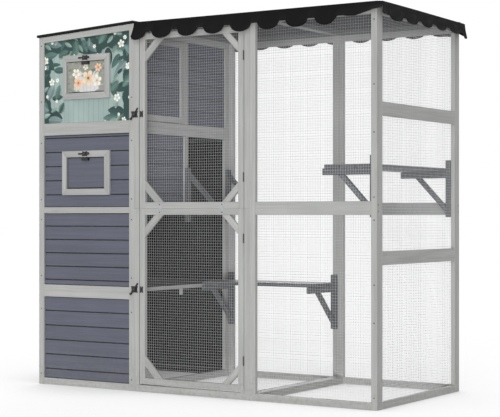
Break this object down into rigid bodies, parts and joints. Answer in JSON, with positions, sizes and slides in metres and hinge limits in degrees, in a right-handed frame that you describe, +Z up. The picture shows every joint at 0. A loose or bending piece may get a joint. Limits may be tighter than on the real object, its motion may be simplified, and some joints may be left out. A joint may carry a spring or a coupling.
{
  "type": "outdoor cat enclosure",
  "caption": "Wooden outdoor cat enclosure with a sided house, meshed door bay and run, climbing shelves, hinged window flaps, a latched door and a scalloped cloth cover.",
  "frame": {"origin": "centre of the bounding box at the ground", "axes": "+X along the front to the run, +Y from the front to the back, +Z up"},
  "size_m": [1.9434, 0.9026, 1.7673],
  "materials": {
    "grey_wood": "painted matte",
    "shelf_wood": "painted matte",
    "slate_siding": "painted satin",
    "printed_board": "printed, matte",
    "printed_flap": "printed, matte",
    "mesh_wire": "galvanised",
    "cover_cloth": "coated cloth",
    "roof_felt": "matte",
    "black_metal": "satin",
    "grey_metal": "satin"
  },
  "bodies": {
    "enclosure": {"front_left_frame": "grey_wood", "front_middle_frame": "grey_wood", "front_right_frame": "grey_wood", "right_side_frame": "grey_wood", "back_right_frame": "grey_wood", "back_middle_frame": "grey_wood", "back_left_frame": "grey_wood", "left_side_frame": "grey_wood", "partition_frame": "grey_wood", "ground_tie": "grey_wood", "roof_frames": "grey_wood", "house_floors": "grey_wood", "lower_window_trim": "grey_wood", "upper_window_trim": "grey_wood", "upper_shelf_boards": "shelf_wood", "lower_shelf_boards": "shelf_wood", "landing_boards": "shelf_wood", "upper_shelf_brackets": "shelf_wood", "lower_shelf_brackets": "shelf_wood", "landing_brackets": "shelf_wood", "front_siding": "slate_siding", "window_siding": "slate_siding", "left_side_siding": "slate_siding", "back_siding": "slate_siding", "partition_siding": "slate_siding", "front_right_mesh": "mesh_wire", "right_side_mesh": "mesh_wire", "back_right_mesh": "mesh_wire", "back_middle_mesh": "mesh_wire", "roof_mesh": "mesh_wire", "roof_cover": "cover_cloth", "front_valance": "cover_cloth", "right_valance": "cover_cloth", "back_valance": "cover_cloth", "print_panel": "printed_board", "house_roof": "roof_felt", "frame_screws": "black_metal", "latch_bases": "black_metal", "door_hinge_leaves": "grey_metal", "flap_hinge_leaves": "black_metal", "hatch_hinge_leaves": "grey_metal", "hinge_pins": "grey_metal"},
    "door": {"door_upper_frame": "grey_wood", "door_lower_frame": "grey_wood", "door_braces": "grey_wood", "door_mesh": "mesh_wire", "door_join_plates": "grey_metal", "door_hinge_straps": "grey_metal", "door_latch_keepers": "black_metal"},
    "upper_window_flap": {"upper_flap": "printed_flap", "upper_flap_hardware": "black_metal"},
    "lower_window_flap": {"lower_flap": "slate_siding", "lower_flap_hardware": "black_metal"},
    "hatch": {"hatch_frame": "grey_wood", "hatch_siding": "slate_siding", "hatch_hinge_straps": "grey_metal"},
    "door_upper_lever": {"door_upper_latch_lever": "black_metal"},
    "door_lower_lever": {"door_lower_latch_lever": "black_metal"},
    "upper_flap_lever": {"upper_flap_latch_lever": "black_metal"},
    "lower_flap_lever": {"lower_flap_latch_lever": "black_metal"}
  },
  "joints": [
    {"name": "door_hinge", "type": "hinge", "parent": "enclosure", "child": "door", "pos_m": [0.25585, -0.4202, 0.87], "axis": [0, 0, 1], "range_deg": [0, 165], "deforming": ["front_valance"]},
    {"name": "upper_flap_hinge", "type": "hinge", "parent": "enclosure", "child": "upper_window_flap", "pos_m": [-0.66615, -0.4115, 1.44], "axis": [1, 0, 0], "range_deg": [0, 90]},
    {"name": "lower_flap_hinge", "type": "hinge", "parent": "enclosure", "child": "lower_window_flap", "pos_m": [-0.66615, -0.4115, 0.971], "axis": [1, 0, 0], "range_deg": [0, 90]},
    {"name": "hatch_hinge", "type": "hinge", "parent": "enclosure", "child": "hatch", "pos_m": [-0.36545, -0.3655, 1.499], "axis": [0, 0, -1], "range_deg": [0, 85]},
    {"name": "door_upper_latch", "type": "hinge", "parent": "enclosure", "child": "door_upper_lever", "pos_m": [-0.36565, -0.4223, 1.319], "axis": [0, -1, 0], "range_deg": [-52, 38]},
    {"name": "door_lower_latch", "type": "hinge", "parent": "enclosure", "child": "door_lower_lever", "pos_m": [-0.36565, -0.4223, 0.485], "axis": [0, -1, 0], "range_deg": [-52, 38]},
    {"name": "upper_flap_latch", "type": "hinge", "parent": "enclosure", "child": "upper_flap_lever", "pos_m": [-0.66615, -0.4263, 1.607], "axis": [0, -1, 0], "range_deg": [0, 90]},
    {"name": "lower_flap_latch", "type": "hinge", "parent": "enclosure", "child": "lower_flap_lever", "pos_m": [-0.66615, -0.4263, 1.138], "axis": [0, -1, 0], "range_deg": [0, 90]}
  ]
}
